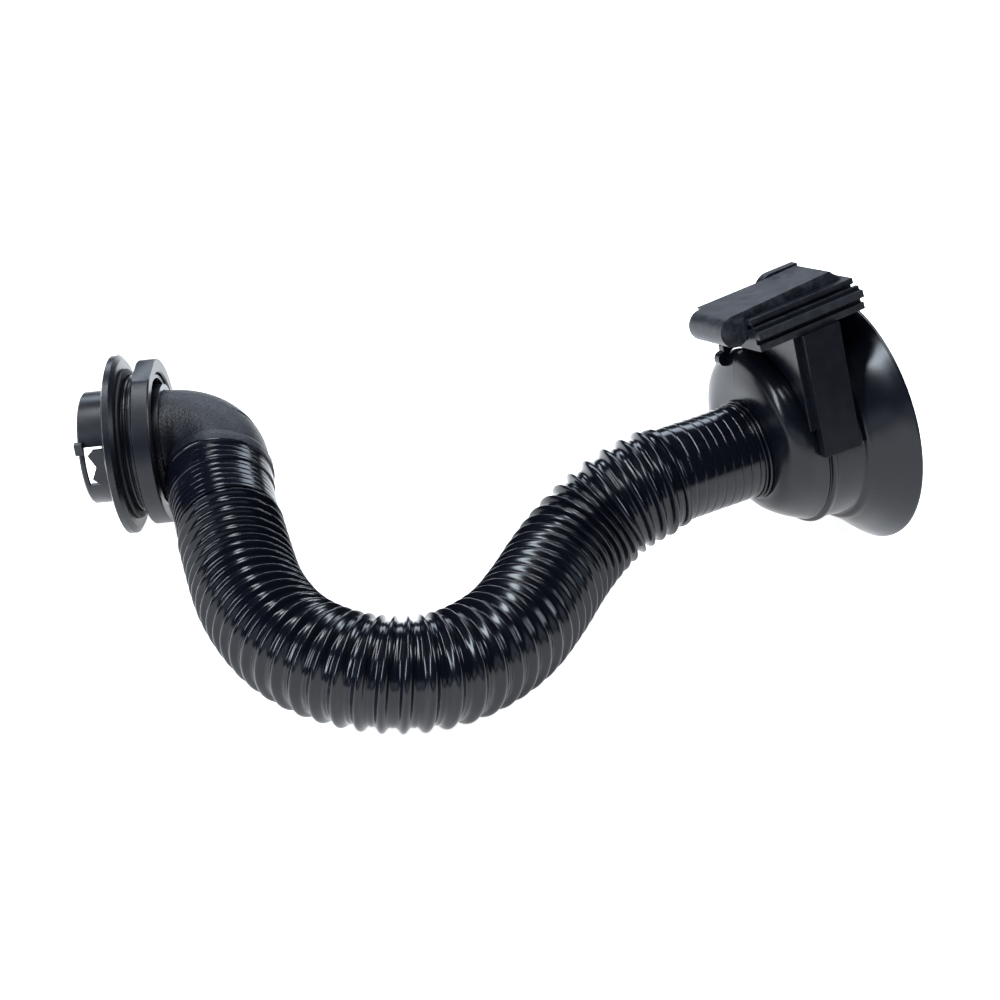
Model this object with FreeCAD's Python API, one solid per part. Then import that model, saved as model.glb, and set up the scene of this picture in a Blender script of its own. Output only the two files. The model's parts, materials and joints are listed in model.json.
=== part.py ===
import FreeCAD, Part
import math
import os
from FreeCAD import Placement, Rotation, Vector

# A drain hose kit: a bulkhead fitting with a lock nut and a swivelling elbow, a corrugated hose
# with a smooth cuff at each end, and a flared rubber boot that carries a rail bracket and a lever.
# It lies on a flat surface, z = 0, with the origin under the middle of its two fittings.
# Lengths are millimetres and angles are degrees.

# ---------------------------------------------------------------- driving dimensions
HOSE_R = 44.0              # over the corrugations
HOSE_WALL = 3.0
GAP = 0.3                  # between faces of two bodies that turn or slide past each other
PIN_FIT = 0.05             # radial clearance of a hinge pin

# Bulkhead fitting, along its own x from the open spigot to the elbow; x = 0 is in the flange.
FITTING_PITCH = 6.5        # how far the fitting's axis rises towards the elbow
FLANGE_R = 75.0
FLANGE_FACES = (-2.0, 7.5)
SPIGOT_R = 47.0
SPIGOT_END = -28.5
SOCKET_R = 42.8            # the pipe socket, a step wider than the bore behind it
SOCKET_END = 2.0
BORE_R = 42.1
BARREL_R = 57.0
BARREL_END = 34.0
INNER_SLEEVE_R = 47.0
INNER_SLEEVE_END = 39.5
THREAD_SLEEVE_BORE_R = 52.6
CORE_START = 14.0
CORE_RIBS = 8
THREAD_PITCH = 4.0
THREAD_DEPTH = 1.4
GASKET_END = 10.5
GASKET_R = 63.0
WASHER_FACES = (18.7, 20.7)
NUT_FACES = (21.0, 36.5)
NUT_R = 69.0
NUT_FLAT = 66.5            # two spanner flats, top and bottom
NUT_BORE_R = BARREL_R + GAP
WINDOW_X = (-24.0, -4.5)   # rectangular window low on the spigot's near side
WINDOW_Z = (-11.5, 22.0)
LATCH_THICKNESS = 3.0
LATCH_Y = -44.9            # the middle of the tongue, and of its rounded root
LATCH_ROOT_X = WINDOW_X[1] - LATCH_THICKNESS / 2 - 0.2

# Elbow, turned about the fitting's axis so that its outlet dips towards the floor.
ELBOW_R = 41.5
ELBOW_BORE_R = 37.0
ELBOW_BEND_R = 42.5
ELBOW_CENTRE = 84.0        # where the inlet and outlet axes cross
ELBOW_DIP = 18.0
ELBOW_PLUG_START = 8.0
OUTLET_INSERT_R = 36.0
OUTLET_INSERT_END = 66.0
RING_GROOVES = (15.0, 23.0)
RING_GROOVE_DEPTH = 3.0
RING_GROOVE_WIDTH = 3.6
RETAINER_FACES = (29.0, 32.0)

# Cuffs
CUFF_R = 42.5
CUFF_BORE_R = 38.2
CUFF_START = 46.0          # distance from the elbow's centre
CUFF_KNEE = 60.0
SLEEVE_WALL = 1.6
RIGHT_CUFF_R = 39.4
RIGHT_CUFF_BORE_R = 36.0
RIGHT_CUFF_LENGTH = 82.0

# Boot, along its own x towards the open mouth; x = 0 is the mouth's edge.
BOOT_DIR = Vector(0.887, 0.451, 0.0975)
BOOT_ROLL = 17.0           # the bracket leans away from upright by this
MOUTH_R = 107.5
BOOT_WALL = 3.6
NECK_X = -93.0
BEAD_X = -59.0
BEAD_R = 74.0
BAND_X = (-55.0, -33.0)
BAND_R = (72.5, 76.5)
SKIRT_X = -27.0
SKIRT_R = 82.0

# Rail bracket and lever. The rail has its own frame, pitched up towards the mouth.
POST_X = (-71.0, -37.5)
POST_Y = (-81.0, -73.0)
CROSS_RIB_X = (-76.0, -69.0)
FAR_RIB_Y = (12.0, 20.0)
RAIL_PITCH = 4.0
RAIL_ORIGIN = (-8.0, 0.0, 119.5)
RAIL_X = (-101.0, -3.0)
RAIL_NEAR = -80.0
RAIL_FAR = 22.0
LEVER_Y = (-60.0, -8.0)
LEVER_TOP = (-16.8, 18.2)
ROLL_CENTRE = (-110.1, 2.2)
ROLL_R = 12.5
LEVER_PIN_R = 4.0
LEVER_CHEEK = 3.0          # the closed wall on the near side of the rolled end
PIN_Y = (-58.5, -9.0)
KNUCKLE_Y = (-43.0, -25.0)
KNUCKLE_R = 8.6
PLATE_TOP = 9.0

# Where the two fittings stand, with the origin midway between them.
FITTING_X = -309.5
FITTING_Y = 9.3
MOUTH_CENTRE_XY = (294.0, 3.3)

# The hose's route, from the left cuff's end to the right cuff's start.
ROUTE = [
    (-211.87, -93.18, 56.04),
    (-199.5, -139.7, 46),
    (-182.5, -197.7, 44.6),
    (-147.5, -258.7, 44.6),
    (-93.5, -290.7, 44.6),
    (-35.5, -288.7, 44.6),
    (10.5, -245.7, 44.6),
    (34.5, -191.7, 44.6),
    (54.5, -138.7, 49),
    (79.5, -104.7, 63),
    (110.2, -89.5, 84),
    (137, -76.5, 89.5),
]

NODES = {}


# ---------------------------------------------------------------- helpers
def turned(outline, offset=0.0):
    """A solid of revolution about the x axis from (x, radius) corners."""
    corners = [Vector(x, 0, r) for x, r in outline]
    face = Part.Face(Part.makePolygon(corners + corners[:1]))
    solid = face.revolve(Vector(0, 0, 0), Vector(1, 0, 0), 360)
    solid.translate(Vector(0, 0, offset))
    return solid


def ring(x0, x1, inner, outer):
    """A plain ring about the x axis."""
    return turned([(x0, inner), (x1, inner), (x1, outer), (x0, outer)])


def disc(x0, x1, radius, y=0.0, z=0.0):
    return Part.makeCylinder(radius, x1 - x0, Vector(x0, y, z), Vector(1, 0, 0))


def bar(radius, y0, y1, x, z):
    """A round bar along y."""
    return Part.makeCylinder(radius, y1 - y0, Vector(x, y0, z), Vector(0, 1, 0))


def block(xs, ys, zs):
    return Part.makeBox(xs[1] - xs[0], ys[1] - ys[0], zs[1] - zs[0], Vector(xs[0], ys[0], zs[0]))


def torus(x, major, minor):
    return Part.makeTorus(major, minor, Vector(x, 0, 0), Vector(1, 0, 0))


def extruded(corners, start, along):
    """A prism from (y, z) or (x, z) corners; along is its length vector, start its first plane."""
    if along.x:
        points = [Vector(start, a, b) for a, b in corners]
    else:
        points = [Vector(a, start, b) for a, b in corners]
    return Part.Face(Part.makePolygon(points + points[:1])).extrude(along)


def path_wire(points, report=None):
    """Straight runs joined by tangent arcs, each as large as its two runs allow."""
    pts = [Vector(*p) for p in points]
    runs = [b - a for a, b in zip(pts, pts[1:])]
    edges = []
    here = pts[0]
    for corner, before, after in zip(pts[1:-1], runs, runs[1:]):
        turn = before.getAngle(after)
        cut = 0.45 * min(before.Length, after.Length)
        radius = cut / math.tan(turn / 2)
        start = corner - before.normalize() * cut
        end = corner + Vector(after).normalize() * cut
        inward = (Vector(after).normalize() - before).normalize()
        middle = corner + inward * (radius / math.cos(turn / 2) - radius)
        edges.append(Part.LineSegment(here, start).toShape())
        edges.append(Part.Arc(start, middle, end).toShape())
        here = end
        if report:
            print(f"{report}: turn {math.degrees(turn):.1f} deg, radius {radius:.0f} mm")
    edges.append(Part.LineSegment(here, pts[-1]).toShape())
    return Part.Wire(edges)


def pipe(points, outer, inner, report=None):
    """A tube along a route, checked by comparing its volume with its section times its length."""
    wire = path_wire(points, report)
    first = Vector(*points[1]) - Vector(*points[0])
    start = Vector(*points[0])
    solids = []
    for radius in (outer, inner):
        section = Part.Wire(Part.makeCircle(radius, start, first))
        solids.append(wire.makePipeShell([section], True, False))
    tube = solids[0].cut(solids[1])
    plain = math.pi * (outer**2 - inner**2) * wire.Length
    if report:
        print(f"{report}: length {wire.Length:.0f} mm, volume ratio {tube.Volume / plain:.4f}")
    return tube


def add(name, shape, place):
    """Puts a finished sub-part where it stands and keeps it under its node name."""
    shape = shape.copy()
    shape.Placement = place.multiply(shape.Placement)
    NODES[name] = shape


# ---------------------------------------------------------------- frames
def fitting_place():
    """The fitting stands on its flange's edge, pitched up towards the elbow."""
    pitch = math.radians(FITTING_PITCH)
    height = FLANGE_R * math.cos(pitch) - FLANGE_FACES[0] * math.sin(pitch)
    turn = Rotation(Vector(0, 1, 0), -FITTING_PITCH)
    return Placement(Vector(FITTING_X, FITTING_Y, height), turn)


def boot_place():
    """The boot stands on its mouth's edge; z points at the bracket and -y at its near side."""
    along = Vector(BOOT_DIR).normalize()
    level = (Vector(0, 0, 1) - along * along.z).normalize()
    near = along.cross(level) if along.cross(level).y < 0 else level.cross(along)
    roll = math.radians(BOOT_ROLL)
    up = level * math.cos(roll) - near * math.sin(roll)
    back = up.cross(along)
    height = MOUTH_R * math.sqrt(1 - along.z**2)
    return Placement(Vector(*MOUTH_CENTRE_XY, height), Rotation(along, back, up, "ZXY"))


def rail_place():
    return boot_place().multiply(
        Placement(Vector(*RAIL_ORIGIN), Rotation(Vector(0, 1, 0), -RAIL_PITCH))
    )


def outlet_point(distance):
    """A point on the elbow's outlet axis, in the world."""
    dip = math.radians(ELBOW_DIP)
    return fitting_place().multVec(
        Vector(ELBOW_CENTRE, -distance * math.cos(dip), -distance * math.sin(dip))
    )


# ---------------------------------------------------------------- bulkhead fitting
def spigot_body():
    """Open spigot, flange and threaded barrel, moulded in one."""
    lip = 1.5
    outline = [
        (SPIGOT_END, SOCKET_R),
        (SPIGOT_END, SPIGOT_R - lip),
        (SPIGOT_END + lip, SPIGOT_R),
        (FLANGE_FACES[0], SPIGOT_R),
        (FLANGE_FACES[0], FLANGE_R - 2 * lip),
        (FLANGE_FACES[0] + lip, FLANGE_R),
        (FLANGE_FACES[1] - 2 * lip, FLANGE_R),
        (FLANGE_FACES[1], FLANGE_R - 3 * lip),
        (FLANGE_FACES[1], BARREL_R - THREAD_DEPTH),
    ]
    x = GASKET_END + 1.0
    while x + THREAD_PITCH < BARREL_END:
        outline += [
            (x, BARREL_R - THREAD_DEPTH),
            (x + THREAD_PITCH * 0.3, BARREL_R),
            (x + THREAD_PITCH * 0.6, BARREL_R),
            (x + THREAD_PITCH * 0.9, BARREL_R - THREAD_DEPTH),
        ]
        x += THREAD_PITCH
    outline += [
        (BARREL_END, BARREL_R - THREAD_DEPTH),
        (BARREL_END, THREAD_SLEEVE_BORE_R),
        (CORE_START, THREAD_SLEEVE_BORE_R),
        (CORE_START, INNER_SLEEVE_R),
        (INNER_SLEEVE_END, INNER_SLEEVE_R),
        (INNER_SLEEVE_END, BORE_R),
        (SOCKET_END, BORE_R),
        (SOCKET_END, SOCKET_R),
    ]
    body = turned(outline)
    rib_half, rib_end, first_turn = 1.4, BARREL_END - 5.0, -12.0
    for i in range(CORE_RIBS):
        rib = block(
            (CORE_START - 1.0, rib_end),
            (-rib_half, rib_half),
            (INNER_SLEEVE_R - 1.0, THREAD_SLEEVE_BORE_R + 1.0),
        )
        rib.rotate(Vector(0, 0, 0), Vector(1, 0, 0), first_turn + i * 360.0 / CORE_RIBS)
        body = body.fuse(rib)
    retainer_seat = ring(RETAINER_FACES[0] - GAP, RETAINER_FACES[1] + GAP, BORE_R - 1, BORE_R + 2.6)
    window = block(WINDOW_X, (-2 * SPIGOT_R, -SPIGOT_R / 2), WINDOW_Z)
    return body.cut(retainer_seat).cut(window)


def flange_gasket():
    round_off = 1.0
    return turned(
        [
            (FLANGE_FACES[1], BARREL_R),
            (FLANGE_FACES[1], GASKET_R),
            (GASKET_END - round_off, GASKET_R),
            (GASKET_END, GASKET_R - round_off),
            (GASKET_END, BARREL_R),
        ]
    )


def lock_nut():
    """A ring nut with two spanner flats and eased rims."""
    ease = 1.2
    x0, x1 = NUT_FACES
    body = turned(
        [
            (x0, NUT_BORE_R),
            (x0, NUT_R - ease),
            (x0 + ease, NUT_R),
            (x1 - ease, NUT_R),
            (x1, NUT_R - ease),
            (x1, NUT_BORE_R + ease),
            (x1 - ease, NUT_BORE_R),
        ]
    )
    for side in (-1, 1):
        beyond = sorted((side * NUT_FLAT, side * 2 * NUT_R))
        body = body.cut(block((x0 - 1, x1 + 1), (-NUT_R, NUT_R), beyond))
    return body


def latch_tongue():
    """A sprung tongue that stands in the spigot's window, with two teeth towards the open end."""
    y0, y1 = LATCH_Y - LATCH_THICKNESS / 2, LATCH_Y + LATCH_THICKNESS / 2
    z0, z1 = WINDOW_Z[0] + 0.8, WINDOW_Z[1] - 0.8
    tip = WINDOW_X[0] + 3.5
    tooth = 5.0
    corners = [
        (LATCH_ROOT_X, z0),
        (LATCH_ROOT_X, z1),
        (tip + tooth, z1),
        (tip, z1 - tooth),
        (tip + tooth, (z0 + z1) / 2),
        (tip, z0 + tooth),
        (tip + tooth, z0),
    ]
    blade = extruded(corners, y0, Vector(0, y1 - y0, 0))
    root = Part.makeCylinder(LATCH_THICKNESS / 2, z1 - z0, Vector(LATCH_ROOT_X, LATCH_Y, z0))
    return blade.fuse(root)


def latch_stop():
    """The small bump on the spigot's open edge that the mating pipe snaps past."""
    width, height, length = 6.0, 10.0, 7.0
    y = -math.sqrt(SPIGOT_R**2 - WINDOW_Z[1] ** 2)
    bump = block(
        (SPIGOT_END - 2.0, SPIGOT_END - 2.0 + length),
        (y - width + 2.0, y + 2.0),
        (WINDOW_Z[1] - height / 2, WINDOW_Z[1] + height / 2),
    )
    return bump.cut(ring(SPIGOT_END, 0, BORE_R, SPIGOT_R))


def fitting_parts():
    place = fitting_place()
    add("spigot_body", spigot_body(), place)
    add("flange_gasket", flange_gasket(), place)
    add("thrust_washer", ring(*WASHER_FACES, NUT_BORE_R, GASKET_R - 2), place)
    add("lock_nut", lock_nut(), place)
    add("retaining_ring", ring(*RETAINER_FACES, ELBOW_R - 1.4, BORE_R + 2.4), place)
    add("latch_tongue", latch_tongue(), place)
    add("latch_stop", latch_stop(), place)


# ---------------------------------------------------------------- elbow and left cuff
def elbow_solid(radius, plug_start, outlet_end, outlet_radius):
    """Inlet, a quarter bend and an outlet that steps down inside the cuff."""
    bend_start = ELBOW_CENTRE - ELBOW_BEND_R
    inlet = disc(plug_start, bend_start, radius)
    section = Part.Face(Part.Wire(Part.makeCircle(radius, Vector(bend_start, 0, 0), Vector(1, 0, 0))))
    bend = section.revolve(Vector(bend_start, -ELBOW_BEND_R, 0), Vector(0, 0, -1), 90)
    out = Vector(0, -1, 0)
    outlet = Part.makeCylinder(
        radius, CUFF_START - ELBOW_BEND_R, Vector(ELBOW_CENTRE, -ELBOW_BEND_R, 0), out
    )
    insert = Part.makeCylinder(
        outlet_radius, outlet_end - CUFF_START, Vector(ELBOW_CENTRE, -CUFF_START, 0), out
    )
    return inlet.fuse([bend, outlet, insert])


def elbow():
    outer = elbow_solid(ELBOW_R, ELBOW_PLUG_START, OUTLET_INSERT_END, OUTLET_INSERT_R)
    wall = ELBOW_R - ELBOW_BORE_R
    inner = elbow_solid(ELBOW_BORE_R, ELBOW_PLUG_START - 1, CUFF_START + 0.1, ELBOW_BORE_R - wall)
    step = Part.makeCylinder(
        ELBOW_R, wall, Vector(ELBOW_CENTRE, -CUFF_START, 0), Vector(0, 1, 0)
    )
    insert_bore = Part.makeCylinder(
        OUTLET_INSERT_R - wall / 2, 2 * CUFF_START, Vector(ELBOW_CENTRE, 0, 0), Vector(0, -1, 0)
    )
    body = outer.cut(inner.cut(step)).cut(insert_bore)
    for x in RING_GROOVES:
        body = body.cut(ring(x, x + RING_GROOVE_WIDTH, ELBOW_R - RING_GROOVE_DEPTH, ELBOW_R + 1))
    x0, x1 = RETAINER_FACES
    return body.cut(ring(x0 - GAP, x1 + GAP, ELBOW_R - 1.4 - GAP, ELBOW_R + 1))


def outlet_collar():
    """A raised band with a conical shoulder, round the elbow's outlet."""
    shoulder, band, end = 34.0, 38.5, CUFF_START - 0.5
    rise = 2.5
    body = turned(
        [
            (shoulder, ELBOW_R - rise),
            (shoulder, ELBOW_R),
            (band, ELBOW_R + rise),
            (end, ELBOW_R + rise),
            (end, ELBOW_R - rise),
        ]
    )
    body.rotate(Vector(0, 0, 0), Vector(0, 0, 1), -90)
    body.translate(Vector(ELBOW_CENTRE, 0, 0))
    return body.cut(elbow_solid(ELBOW_R, ELBOW_PLUG_START, OUTLET_INSERT_END, OUTLET_INSERT_R))


def elbow_parts():
    dip = Placement(Vector(0, 0, 0), Rotation(Vector(1, 0, 0), ELBOW_DIP))
    place = fitting_place().multiply(dip)
    seal_r = 1.6
    add("elbow", elbow(), place)
    for i, x in enumerate(RING_GROOVES):
        add(f"elbow_seal_{i + 1}", torus(x + RING_GROOVE_WIDTH / 2, BORE_R - GAP - seal_r, seal_r), place)
    add("outlet_collar", outlet_collar(), place)
    lip = torus(0, CUFF_R - 0.2, 2.6).cut(disc(-5, 5, CUFF_R))
    lip.rotate(Vector(0, 0, 0), Vector(0, 0, 1), -90)
    lip.translate(Vector(ELBOW_CENTRE, -CUFF_START - 2.8, 0))
    add("cuff_lip", lip, place)


def left_cuff():
    """The soft cuff leaves the elbow straight and then bends into line with the hose."""
    start, knee, end = outlet_point(CUFF_START), outlet_point(CUFF_KNEE), Vector(*ROUTE[0])
    world = Placement()
    along = (Vector(*ROUTE[1]) - end).normalize()
    spare = 5.0
    cuff = pipe([tuple(start), tuple(knee), tuple(end + along * spare)], CUFF_R, CUFF_BORE_R, "left cuff")
    beyond = Part.makeCylinder(2 * CUFF_R, 4 * spare, end, along)
    add("left_cuff", cuff.cut(beyond), world)
    band_start, band_length = knee + along * 7.5, 9.5
    sleeve = Part.makeCylinder(CUFF_R + SLEEVE_WALL, band_length, band_start, along)
    bore = Part.makeCylinder(CUFF_R, band_length, band_start, along)
    add("cuff_band", sleeve.cut(bore), world)


def hose_parts():
    add("hose", pipe(ROUTE, HOSE_R, HOSE_R - HOSE_WALL, "hose"), Placement())
    x0, x1 = NECK_X - RIGHT_CUFF_LENGTH, NECK_X
    tube = ring(x0, x1, RIGHT_CUFF_BORE_R, RIGHT_CUFF_R)
    collar = ring(x0, x0 + 4.0, RIGHT_CUFF_BORE_R, RIGHT_CUFF_R + 1.5)
    add("right_cuff", tube.fuse(collar), boot_place())


# ---------------------------------------------------------------- boot
def boot_outline(inset):
    """The band, the two beads and the flared skirt, as (x, radius) corners."""
    return [
        (BEAD_X - 3.0, BEAD_R - 2.6 - inset),
        (BEAD_X - 1.2, BEAD_R - inset),
        (BEAD_X + 1.2, BEAD_R - inset),
        (BAND_X[0], BAND_R[0] - inset),
        (BAND_X[1], BAND_R[1] - inset),
        (SKIRT_X - 2.5, SKIRT_R - 1.0 - inset),
        (SKIRT_X, SKIRT_R - inset),
        (SKIRT_X * 0.55, SKIRT_R + 10.5 - inset),
        (-6.0, MOUTH_R - 5.5 - inset),
        (0.0, MOUTH_R - inset),
    ]


# The dome between the neck and the first bead bulges towards the bracket: (x, radius, lift).
DOME = [(-97.0, 43.0, 2.0), (-95.0, 55.0, 9.0), (-88.0, 67.5, 13.0), (-78.0, 72.0, 10.0), (-62.0, 71.4, 0.0)]


def dome_solid(inset):
    wires = [
        Part.Wire(Part.makeCircle(r - inset, Vector(x + inset * 0.8, 0, lift), Vector(1, 0, 0)))
        for x, r, lift in DOME[:-1]
    ]
    x, r, lift = DOME[-1]
    wires.append(Part.Wire(Part.makeCircle(r - inset, Vector(x, 0, lift), Vector(1, 0, 0))))
    return Part.makeLoft(wires, True, False)


def boot_outer(inset=0.0):
    skirt = boot_outline(inset)
    body = turned([(skirt[0][0], 0.0)] + skirt + [(0.0, 0.0)])
    return body.fuse(dome_solid(inset))


def boot_shell():
    inner = boot_outer(BOOT_WALL).fuse(disc(-1, 1, MOUTH_R - BOOT_WALL))
    passage = disc(NECK_X - 10, BEAD_X, RIGHT_CUFF_R)
    return boot_outer().cut(inner).cut(passage)


def boot_parts():
    place = boot_place()
    add("boot_shell", boot_shell(), place)
    add("neck_ring", ring(DOME[0][0] - 3.0, DOME[0][0], RIGHT_CUFF_R, RIGHT_CUFF_R + 3.0), place)
    add("neck_ring_inner", ring(DOME[0][0] - 7.0, DOME[0][0] - 3.6, RIGHT_CUFF_R, RIGHT_CUFF_R + 1.8), place)
    add("cuff_stiffener", ring(NECK_X - 26, NECK_X + 2, RIGHT_CUFF_BORE_R - 2.0, RIGHT_CUFF_BORE_R), place)
    outer = boot_outer()
    ribs_x = (CROSS_RIB_X[1], POST_X[1])
    lug_x, lug_z, lug_r = -94.0, 75.0, 6.0
    near_rib = block(ribs_x, (POST_Y[1], POST_Y[1] + 8.0), (20, 102))
    far_rib = block(ribs_x, FAR_RIB_Y, (40, 102))
    arm = block((lug_x, CROSS_RIB_X[0]), FAR_RIB_Y, (lug_z - 5.0, lug_z + 11.0))
    lug = bar(lug_r, *FAR_RIB_Y, lug_x, lug_z)
    cross_rib = block(CROSS_RIB_X, (POST_Y[1], FAR_RIB_Y[1]), (20, 102)).fuse([arm, lug])
    post = block(POST_X, POST_Y, (-2, 104))
    roof = rail_underside()
    walls = (("near_rib", near_rib), ("far_rib", far_rib), ("cross_rib", cross_rib), ("bracket_post", post))
    for name, wall in walls:
        add(name, wall.cut(outer).cut(roof), place)


def rail_underside():
    """Everything above the rail's lower face, in the boot's frame, to trim what stands under it."""
    cap = block((-200, 100), (-200, 200), (RAIL_DEPTHS[-1], 200))
    cap.Placement = Placement(Vector(*RAIL_ORIGIN), Rotation(Vector(0, 1, 0), -RAIL_PITCH))
    return cap


# ---------------------------------------------------------------- rail bracket
RAIL_DEPTHS = (0.0, -6.0, -10.5, -16.0)


def rail():
    """Two flanges with a slide groove between them and a rib along the near edge."""
    top, shelf, groove, bottom = RAIL_DEPTHS
    near, far = RAIL_NEAR, RAIL_FAR
    corners = [
        (near + 5, top),
        (near, top),
        (near, shelf),
        (near + 7, shelf),
        (near + 7, groove),
        (near + 3, groove),
        (near + 3, bottom),
        (far - 3, bottom),
        (far - 3, groove),
        (far - 7, groove),
        (far - 7, shelf),
        (far, shelf),
        (far, top),
        (near + 9, top),
        (near + 9, top + 3),
        (near + 5, top + 3),
    ]
    body = extruded(corners, RAIL_X[0], Vector(RAIL_X[1] - RAIL_X[0], 0, 0))
    return body.cut(roll_clearance())


def roll_clearance():
    """Room for the lever's rolled end beside the rail's end."""
    x, z = ROLL_CENTRE
    return bar(ROLL_R + 1.2, LEVER_Y[0] - 1.0, RAIL_FAR + 1, x, z)


def base_plate():
    x0, x1 = RAIL_X
    neck = block((x0 + 5, x1), (-64.0, 14.0), (0.0, 4.0))
    plate = block((x0 + 1, x1), (-69.0, 20.0), (4.0, PLATE_TOP))
    return neck.fuse(plate).cut(roll_clearance())


def hinge_knuckle():
    """The arm that reaches from the rail into the lever's rolled end and holds its pin."""
    x, z = ROLL_CENTRE
    y0, y1 = KNUCKLE_Y
    arm = block((x, RAIL_X[0] + 12), (y0, y1), (z - 5.0, z + 5.0))
    barrel = bar(KNUCKLE_R, y0, y1, x, z)
    body = arm.fuse(barrel).cut(bar(LEVER_PIN_R, y0 - 1, y1 + 1, x, z))
    return body.cut(rail()).cut(base_plate())


def lever():
    """A wedge-shaped lever whose left end rolls round the hinge pin."""
    x, z = ROLL_CENTRE
    y0, y1 = LEVER_Y
    tip_x, tip_z = LEVER_TOP
    rest = PLATE_TOP + GAP
    slope = math.atan2(tip_z - (z + ROLL_R), tip_x - x)
    touch = (x - ROLL_R * math.sin(slope), z + ROLL_R * math.cos(slope))
    corners = [touch, (tip_x, tip_z), (tip_x + 9.0, rest), (x + 6.0, rest), (x, z)]
    body = extruded(corners, y0, Vector(0, y1 - y0, 0)).fuse(bar(ROLL_R, y0, y1, x, z))
    body = body.cut(bar(LEVER_PIN_R + PIN_FIT, PIN_Y[0] - PIN_FIT, y1 + 1, x, z))
    k0, k1 = KNUCKLE_Y[0] - GAP, KNUCKLE_Y[1] + GAP
    recess = bar(ROLL_R - 3.5, y0 + LEVER_CHEEK, k0, x, z)
    seat = bar(KNUCKLE_R + GAP, k0, k1, x, z)
    sweep = block((x - 5.6, x + 2 * ROLL_R), (k0, k1), (z - 2 * ROLL_R, z + 5.0 + GAP))
    return body.cut(recess).cut(seat).cut(sweep)


def lever_spring():
    """Close coils round the pin, inside the rolled end."""
    x, z = ROLL_CENTRE
    wire_r, coil_r, coils = 0.8, 6.2, 5
    rings = []
    for i in range(coils):
        centre = Vector(x, LEVER_Y[0] + LEVER_CHEEK + 1.0 + i * (2 * wire_r + 0.2), z)
        rings.append(Part.makeTorus(coil_r, wire_r, centre, Vector(0, 1, 0)))
    return Part.makeCompound(rings)


def catch_ear():
    """A rounded ear behind the lever that keeps it from swinging sideways."""
    y0, y1 = LEVER_Y[1] + 0.8, LEVER_Y[1] + 10.0
    radius = 15.0
    ear = block((-54, -14), (y0, y1), (PLATE_TOP, PLATE_TOP + 10.5))
    corner = bar(radius, y0, y1, -54 + radius, PLATE_TOP + 10.5 - radius)
    left = block((-54, -54 + radius), (y0, y1), (PLATE_TOP, PLATE_TOP + 10.5))
    return ear.cut(left).fuse(corner.common(left))


def rail_parts():
    place = rail_place()
    x, z = ROLL_CENTRE
    add("rail", rail(), place)
    add("base_plate", base_plate(), place)
    add("hinge_knuckle", hinge_knuckle(), place)
    add("lever", lever(), place)
    add("lever_pin", bar(LEVER_PIN_R, *PIN_Y, x, z), place)
    add("lever_spring", lever_spring(), place)
    add("catch_ear", catch_ear(), place)


fitting_parts()
elbow_parts()
left_cuff()
hose_parts()
boot_parts()
rail_parts()

os.makedirs("parts", exist_ok=True)
for name, shape in NODES.items():
    shape.exportStep(f"parts/{name}.step")
    box = shape.BoundBox
    print(
        f"{name}: {shape.Volume / 1000:.1f} cm3, {len(shape.Solids)} solid, valid {shape.isValid()},"
        f" x {box.XMin:.0f}..{box.XMax:.0f}, y {box.YMin:.0f}..{box.YMax:.0f}, z {box.ZMin:.1f}..{box.ZMax:.1f}"
    )
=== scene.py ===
# %% [markdown]
# A drain hose kit, ready to be looked at.
#
# The real thing is a chain of mouldings: a bulkhead fitting with a lock nut, an elbow, a soft cuff, a
# corrugated hose, a second cuff and a flared rubber boot that carries a rail bracket and a lever.
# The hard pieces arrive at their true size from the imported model. This lesson eases their edges, lights
# them, gives them their finishes, and builds the soft pieces, whose look depends on ridges, grooves,
# beads and seams that the plain solids don't have.

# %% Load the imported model
import json
import math

import bmesh
import bpy
from mathutils import Euler, Matrix, Vector, noise

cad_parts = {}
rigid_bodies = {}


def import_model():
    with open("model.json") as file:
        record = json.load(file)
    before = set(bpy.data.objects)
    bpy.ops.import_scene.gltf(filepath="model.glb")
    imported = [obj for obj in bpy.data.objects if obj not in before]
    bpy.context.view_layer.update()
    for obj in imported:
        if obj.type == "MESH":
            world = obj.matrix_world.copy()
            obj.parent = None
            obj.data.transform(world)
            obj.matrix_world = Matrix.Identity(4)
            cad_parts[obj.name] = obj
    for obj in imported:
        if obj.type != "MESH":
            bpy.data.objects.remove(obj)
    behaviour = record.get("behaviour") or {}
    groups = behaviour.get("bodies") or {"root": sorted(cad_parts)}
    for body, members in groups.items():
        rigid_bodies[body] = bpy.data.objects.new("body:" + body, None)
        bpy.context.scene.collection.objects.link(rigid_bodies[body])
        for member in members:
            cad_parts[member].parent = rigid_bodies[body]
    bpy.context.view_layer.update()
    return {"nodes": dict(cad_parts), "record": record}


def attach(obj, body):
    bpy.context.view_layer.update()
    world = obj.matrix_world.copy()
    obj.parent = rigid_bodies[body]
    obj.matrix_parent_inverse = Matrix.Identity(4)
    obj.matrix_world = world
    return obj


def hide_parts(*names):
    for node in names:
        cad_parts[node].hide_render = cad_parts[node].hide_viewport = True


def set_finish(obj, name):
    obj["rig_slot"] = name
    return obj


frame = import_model()
record = frame["record"]
MM = 0.001

# %% [markdown]
# The elbow's cuff and the boot are placed from the imported record, by two small frames: one on the
# bulkhead fitting's axis, and one on the boot's axis at its open mouth. A frame is a 4 x 4 matrix whose
# columns are its three directions and its origin. Only the hose's route is listed.

# %% Frames from the record's joints and mounts
joints = {j["name"]: j for j in record["behaviour"]["joints"]}
mounts = {m["name"]: m for m in record["mounts"]}


def frame_from(origin, x, y, z):
    columns = Matrix((x, y, z)).transposed().to_4x4()
    return Matrix.Translation(origin) @ columns


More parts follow.
